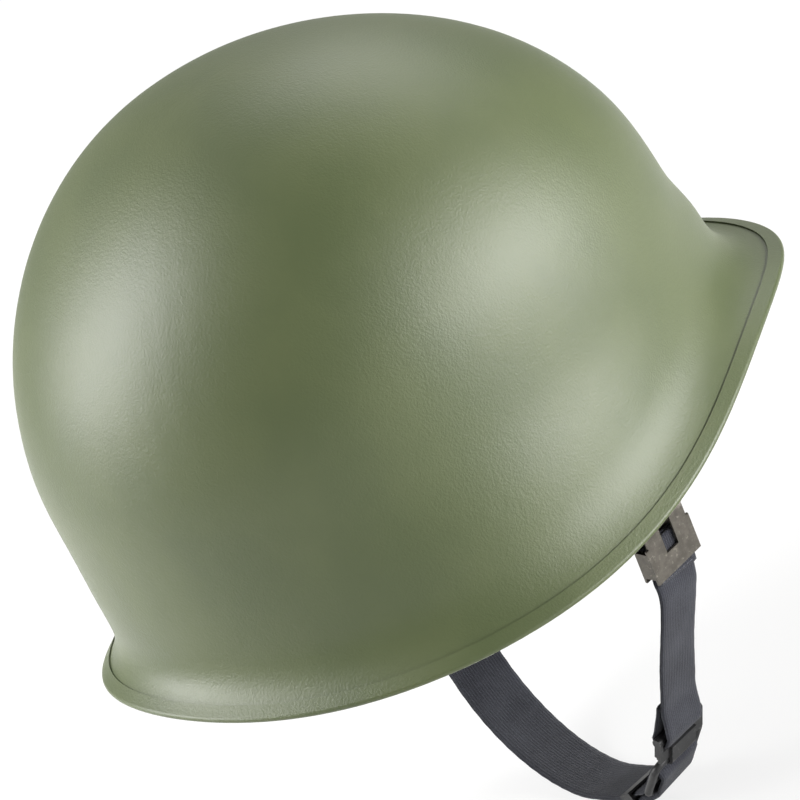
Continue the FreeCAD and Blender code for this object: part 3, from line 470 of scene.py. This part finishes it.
# Sections of a flat strap: centre, width direction, face normal and thickness, in one row each.
# The first is at the end that lies furthest along a direction, and the normals point outward
def webbing_rows(name, first_end):
    links = sharp_links(name)
    corners = [point for point in links if len(links[point]) == 3]
    corners.sort(key=lambda point: -np.dot(point, first_end))
    lines = []
    for corner in corners[:4]:
        walks = [follow(links, corner, step) for step in links[corner]]
        lines.append(np.array(max(walks, key=len)))
    base = lines[0]
    thin, wide, far = sorted(lines[1:], key=lambda line: np.linalg.norm(line[0] - base[0]))
    centre = (base + thin + wide + far) / 4
    width = wide - base + far - thin
    width /= np.linalg.norm(width, axis=1)[:, None]
    normal = (thin - base + far - wide) / 2
    thick = np.linalg.norm(normal, axis=1)[:, None]
    normal /= thick
    if np.sum(normal * centre) < 0:
        normal = -normal
    if np.sum(np.cross(width, normal) * np.gradient(centre, axis=0)) < 0:
        width = -width
    return np.hstack([centre, width, normal, thick])


# Lower outer edge of the headband, counterclockwise from its furthest point along +X
def band_edge():
    links = sharp_links("headband_webbing")
    low = min(point[2] for point in links)
    left = {point for point in links if point[2] < low + 1.0}
    rings = []
    while left:
        start = max(left)
        ring = follow(links, start, links[start][0])[:-1]
        left -= set(ring)
        rings.append(np.array(ring))
    ring = max(rings, key=lambda one: np.ptp(one[:, 0]))[:, :2]
    x, y = ring.T
    if np.sum(x * np.roll(y, -1) - np.roll(x, -1) * y) < 0:
        ring = np.roll(ring[::-1], 1, axis=0)
    return ring


# Points round the section of a strap, as shares of its width and thickness, with rounded selvedges
def web_section(across=14):
    top = []
    for k in range(across + 1):
        x = -1.0 + 2.0 * k / across
        edge = max(0.0, (abs(x) - SELVEDGE) / (1.0 - SELVEDGE))
        top.append((x, 1.0 - SELVEDGE_FALL * edge * edge))
    return top + [(x, -y) for x, y in reversed(top)]


def web_strap(name, rows, width, mat, per=1.0):
    samples = catmull(rows, per)
    section = web_section()
    verts = []
    uvs = []
    faces = []
    run = 0.0
    before = None
    for i, s in enumerate(samples):
        c = s[0:3]
        w = s[3:6] / np.linalg.norm(s[3:6])
        n = s[6:9] - w * np.dot(s[6:9], w)
        n = n / np.linalg.norm(n)
        thick = s[9]
        if before is not None:
            run += np.linalg.norm(c - before)
        before = c
        bow = EDGE_WAVE * math.sin(run * WAVE_RATE)
        for x, y in section:
            half = width / 2.0 + (bow if abs(x) > SELVEDGE else 0.0)
            verts.append((c + w * half * x + n * (y * thick / 2.0)) * MM)
            uvs.append((run / UV_UNIT, (x * half) / UV_UNIT))
    m = len(section)
    for i in range(len(samples) - 1):
        for j in range(m):
            a = i * m + j
            b = i * m + (j + 1) % m
            faces.append((a, a + m, b + m, b))
    last = (len(samples) - 1) * m
    faces.append(tuple(range(m)))
    faces.append(tuple(last + j for j in reversed(range(m))))
    obj = make_object(name, verts, faces, mat, uvs)
    return obj, samples


def join_parts(name, parts, mat):
    verts = []
    faces = []
    for v, f in parts:
        base = len(verts)
        verts += v
        faces += [tuple(base + k for k in face) for face in f]
    return make_object(name, verts, faces, mat)


# A thread stitch: a short bent capsule lying on the cloth, ends sunk in it
def stitch(centre, along, up, length, radius):
    side = along.cross(up).normalized()
    verts = []
    faces = []
    steps = 5
    sides = 6
    for k in range(steps + 1):
        x = -1.0 + 2.0 * k / steps
        rise = radius * (0.7 - 1.5 * x * x)
        r = radius * math.sqrt(max(0.05, 1.0 - abs(x) ** 3))
        for j in range(sides):
            a = 2 * math.pi * j / sides
            p = centre + along * (x * length / 2) + side * (math.cos(a) * r) + up * (rise + math.sin(a) * r)
            verts.append(tuple(p * MM))
    for k in range(steps):
        for j in range(sides):
            a = k * sides + j
            b = k * sides + (j + 1) % sides
            faces.append((a, a + sides, b + sides, b))
    return verts, faces


def run_lengths(samples):
    # length along the strap at each sample
    steps = np.linalg.norm(np.diff(samples[:, :3], axis=0), axis=1)
    return np.concatenate([[0.0], np.cumsum(steps)])


def strap_place(samples, run):
    # centre, direction, width direction and normal at a length along the strap
    i = int(np.argmin(np.abs(run_lengths(samples) - run)))
    i = min(max(i, 1), len(samples) - 2)
    along = Vector(samples[i + 1][:3] - samples[i - 1][:3]).normalized()
    w = Vector(samples[i][3:6]).normalized()
    n = Vector(samples[i][6:9]).normalized()
    return Vector(samples[i][:3]), along, w, n


def stitch_rows(samples, start, end):
    # stitches between two lengths along the strap, near both of its selvedges
    parts = []
    for place in (-STITCH_ACROSS, STITCH_ACROSS):
        run = start
        while run <= end:
            c, along, w, n = strap_place(samples, run)
            c += w * place + n * STITCH_HEIGHT
            parts.append(stitch(c, along, n, STITCH_PITCH * STITCH_COVER, STITCH_RADIUS))
            run += STITCH_PITCH
    return parts


def cross_row(samples, run):
    # one row of stitches across the strap, at a length along it
    parts = []
    c, along, w, n = strap_place(samples, run)
    across = -STITCH_ACROSS
    while across <= STITCH_ACROSS + 0.01:
        place = c + w * across + n * STITCH_HEIGHT
        parts.append(stitch(place, w, n, CROSS_PITCH * STITCH_COVER, STITCH_RADIUS))
        across += CROSS_PITCH
    return parts


# Loose fibres along both selvedges
def selvedge_fibres(name, samples, width, count, mat, skip=0):
    parts = []
    for _ in range(count):
        i = rng.randrange(1 + skip, len(samples) - 1 - skip)
        side = rng.choice((-1.0, 1.0))
        w = Vector(samples[i][3:6]).normalized() * side
        n = Vector(samples[i][6:9]).normalized()
        t = Vector(samples[i + 1][:3] - samples[i - 1][:3]).normalized()
        root = Vector(samples[i][:3]) + w * (width / 2 - 0.15) + n * rng.uniform(-0.4, 0.4)
        way = (w + t * rng.uniform(-1.3, 1.3) + n * rng.uniform(-0.8, 0.8)).normalized()
        length = rng.uniform(0.25, 0.75)
        side_a = way.orthogonal().normalized() * FIBRE_RADIUS
        side_b = way.cross(side_a).normalized() * FIBRE_RADIUS
        bend = (n * rng.uniform(-0.3, 0.3) + t * rng.uniform(-0.3, 0.3)) * length
        verts = []
        for k in range(3):
            c = root + way * (length * k / 2) + bend * (k / 2) ** 2
            r = 1.0 - 0.35 * k
            for x, y in ((1.0, 0.0), (-0.5, 0.87), (-0.5, -0.87)):
                verts.append(tuple((c + side_a * (x * r) + side_b * (y * r)) * MM))
        faces = []
        for k in range(2):
            for j in range(3):
                a = k * 3 + j
                b = k * 3 + (j + 1) % 3
                faces.append((a, b, b + 3, a + 3))
        parts.append((verts, faces))
    return join_parts(name, parts, mat)


def dress(piece, body, slot, *replaced):
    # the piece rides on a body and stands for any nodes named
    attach(piece, body)
    if replaced:
        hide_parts(*replaced)


# Chin strap: webbing, the doubled layer under each clip, stitching and fibres
grey = MATERIALS["grey_webbing"]


def layered(rows):
    # the main layer, which sits inside where the strap is doubled, and the outer layer there
    doubled = rows[:, 9] > 2 * WEB_THICK
    main = rows.copy()
    cover = rows[doubled].copy()
    main[doubled, 0:3] -= main[doubled, 6:9] * LAYER_LIFT
    main[:, 9] = WEB_THICK
    cover[:, 0:3] += cover[:, 6:9] * LAYER_LIFT
    cover[:, 9] = WEB_THICK
    return main, cover


def build_strap(name, node, first_end, fibres):
    rows = webbing_rows(node, first_end)
    main, cover = layered(rows)
    obj, samples = web_strap(name, main, WEB_WIDTH, grey)
    dress(obj, "chin_strap", "grey_webbing", node)
    top, over = web_strap(name + "_doubling", cover, WEB_WIDTH - DOUBLING_INSET, grey)
    dress(top, "chin_strap", "grey_webbing")
    total = run_lengths(over)[-1]
    clip_first = rows[0, 9] > 2 * WEB_THICK
    sewn = stitch_rows(over, SEWN_START, total - SEWN_REST)
    sewn += cross_row(over, total - CROSS_REST if clip_first else CROSS_REST)
    dress(join_parts(name + "_stitching", sewn, GREY_THREAD), "chin_strap", "grey_webbing")
    fuzz = selvedge_fibres(name + "_fibres", samples, WEB_WIDTH, fibres, GREY_THREAD, 2)
    dress(fuzz, "chin_strap", "grey_webbing")


build_strap("short_strap_webbing", "chin_strap_short", (0, 0, 1), 700)
build_strap("long_strap_webbing", "chin_strap_long", (0, 0, -1), 1400)

# Crown webs and nape strap
olive = MATERIALS["olive_webbing"]
for name, width in (("crown_web_1", CROWN_WIDTH), ("crown_web_2", CROWN_WIDTH),
                    ("crown_web_3", CROWN_WIDTH), ("nape_strap", NAPE_WIDTH)):
    obj, samples = web_strap(name + "_webbing", webbing_rows(name, WEB_FIRST_END), width, olive, per=1.6)
    dress(obj, "liner", "olive_webbing", name)


# Smooth line of the headband's outer face seen from above, and the direction inward at each point
ring = catmull([(x, y, 0.0) for x, y in band_edge()], 2.0, closed=True)[:, :2]
tangent = np.roll(ring, -1, 0) - np.roll(ring, 1, 0)
tangent /= np.linalg.norm(tangent, axis=1)[:, None]
inward = np.stack([-tangent[:, 1], tangent[:, 0]], 1)


# Closed band in place of a node, between two distances inward from that line
def band_object(name, node, outer, inner, mat):
    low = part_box(node)[0][2] / MM
    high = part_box(node)[1][2] / MM
    steps = 10
    side = []
    for k in range(steps + 1):
        z = k / steps
        side.append((z, max(0.0, abs(2 * z - 1) - 0.9) / 0.1))
    mid = (outer + inner) / 2
    half = (inner - outer) / 2
    section = [(z, mid + half * (1 - 0.5 * e * e)) for z, e in side]
    section += [(z, mid - half * (1 - 0.5 * e * e)) for z, e in reversed(side)]
    verts = []
    uvs = []
    run = 0.0
    count = len(ring)
    for i in range(count):
        if i:
            run += float(np.linalg.norm(ring[i] - ring[i - 1]))
        for z, off in section:
            p = ring[i] + inward[i] * off
            verts.append((p[0] * MM, p[1] * MM, (low + (high - low) * z) * MM))
            uvs.append((run / UV_UNIT, z * (high - low) / UV_UNIT))
    m = len(section)
    faces = []
    for i in range(count):
        after = (i + 1) % count
        for j in range(m):
            k = (j + 1) % m
            faces.append((i * m + j, i * m + k, after * m + k, after * m + j))
    return make_object(name, verts, faces, mat, uvs)


band = band_object("headband_cloth", "headband_webbing", 0.0, WEB_THICK, olive)
dress(band, "liner", "olive_webbing", "headband_webbing")
leather_face = WEB_THICK + BAND_GAP
leather_back = leather_face + LEATHER_THICK
sweat = band_object("sweatband_leather", "sweatband", leather_face, leather_back,
                    MATERIALS["brown_leather"])
dress(sweat, "liner", "brown_leather", "sweatband")
leather_low, leather_high = [corner[2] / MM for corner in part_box("sweatband")]
sewn = []
for height in (leather_low + LEATHER_SEAM, leather_high - LEATHER_SEAM):
    for i in range(0, len(ring), 2):
        step = ring[(i + 1) % len(ring)] - ring[i - 1]
        along = Vector((step[0], step[1], 0)).normalized()
        up = Vector((inward[i][0], inward[i][1], 0))
        c = Vector((ring[i][0], ring[i][1], height)) + up * leather_back
        sewn.append(stitch(c, along, up, LEATHER_STITCH, LEATHER_THREAD))
dress(join_parts("sweatband_stitching", sewn, TAN_THREAD), "liner", "brown_leather")

# Floor just under the lowest point, lights and world
level = cad_box[0][2] - FLOOR_GAP
corners = [(x * FLOOR_SIZE, y * FLOOR_SIZE, level) for x, y in ((-1, -1), (1, -1), (1, 1), (-1, 1))]
floor_look, tree, shader = new_material("floor_look")
floor = make_object("floor", corners, [(0, 1, 2, 3)], floor_look, smooth=False)
shader.inputs["Base Color"].default_value = rgba(0.82, 0.82, 0.81)
shader.inputs["Roughness"].default_value = 0.9
out = [k for k in tree.nodes if k.type == "OUTPUT_MATERIAL"][0]
light = tree.nodes.new("ShaderNodeEmission")
mixer = tree.nodes.new("ShaderNodeMixShader")
path = tree.nodes.new("ShaderNodeLightPath")
tree.links.new(math_node(tree, "MULTIPLY", path.outputs["Is Camera Ray"], FLOOR_GLOW), mixer.inputs[0])
tree.links.new(shader.outputs[0], mixer.inputs[1])
tree.links.new(light.outputs[0], mixer.inputs[2])
tree.links.new(mixer.outputs[0], out.inputs["Surface"])

world = bpy.data.worlds.new("studio")
bpy.context.scene.world = world
world.use_nodes = True
tree = world.node_tree
tree.nodes.clear()
out = tree.nodes.new("ShaderNodeOutputWorld")
soft = tree.nodes.new("ShaderNodeBackground")
white = tree.nodes.new("ShaderNodeBackground")
soft.inputs["Color"].default_value = rgba(1.0, 1.0, 1.0)
soft.inputs["Strength"].default_value = WORLD_LIGHT
white.inputs["Strength"].default_value = 1.0
mixer = tree.nodes.new("ShaderNodeMixShader")
path = tree.nodes.new("ShaderNodeLightPath")
seen = math_node(tree, "MAXIMUM", path.outputs["Is Camera Ray"], path.outputs["Is Transmission Ray"])
in_gloss = math_node(tree, "MULTIPLY", path.outputs["Is Glossy Ray"], WORLD_IN_GLOSS)
seen = math_node(tree, "MAXIMUM", seen, in_gloss)
tree.links.new(seen, mixer.inputs[0])
tree.links.new(soft.outputs[0], mixer.inputs[1])
tree.links.new(white.outputs[0], mixer.inputs[2])
tree.links.new(mixer.outputs[0], out.inputs["Surface"])


# A soft box at an angle from the camera's line of sight, in the picture's own directions
def soft_box(name, right, up, back, distance, width, height, power):
    way = (CAM_RIGHT * right + CAM_UP * up + CAM_BACK * back).normalized()
    lamp = bpy.data.lights.new(name, "AREA")
    lamp.shape = "RECTANGLE"
    lamp.size = width
    lamp.size_y = height
    lamp.energy = power
    obj = bpy.data.objects.new(name, lamp)
    obj.location = LAMP_TARGET + way * distance
    obj.rotation_euler = (-way).to_track_quat("-Z", "Y").to_euler()
    bpy.context.scene.collection.objects.link(obj)


soft_box("left_box", -1.0, 0.10, 0.10, 1.5, 1.0, 1.4, 46.0)
soft_box("right_box", 0.94, 0.06, 0.34, 1.5, 1.3, 1.5, 121.0)
soft_box("top_box", 0.05, 1.0, -0.25, 1.6, 1.4, 0.7, 11.0)

camera = bpy.data.cameras.new("photo_camera")
camera.lens = LENS
camera.sensor_width = SENSOR
camera.clip_end = 50.0
camera_object = bpy.data.objects.new("photo_camera", camera)
turn = Matrix((CAM_RIGHT, CAM_UP, CAM_BACK)).transposed()
camera_object.matrix_world = Matrix.Translation(CAM_PLACE) @ turn.to_4x4()
bpy.context.scene.collection.objects.link(camera_object)
bpy.context.scene.camera = camera_object
bpy.context.scene.view_settings.view_transform = "Standard"
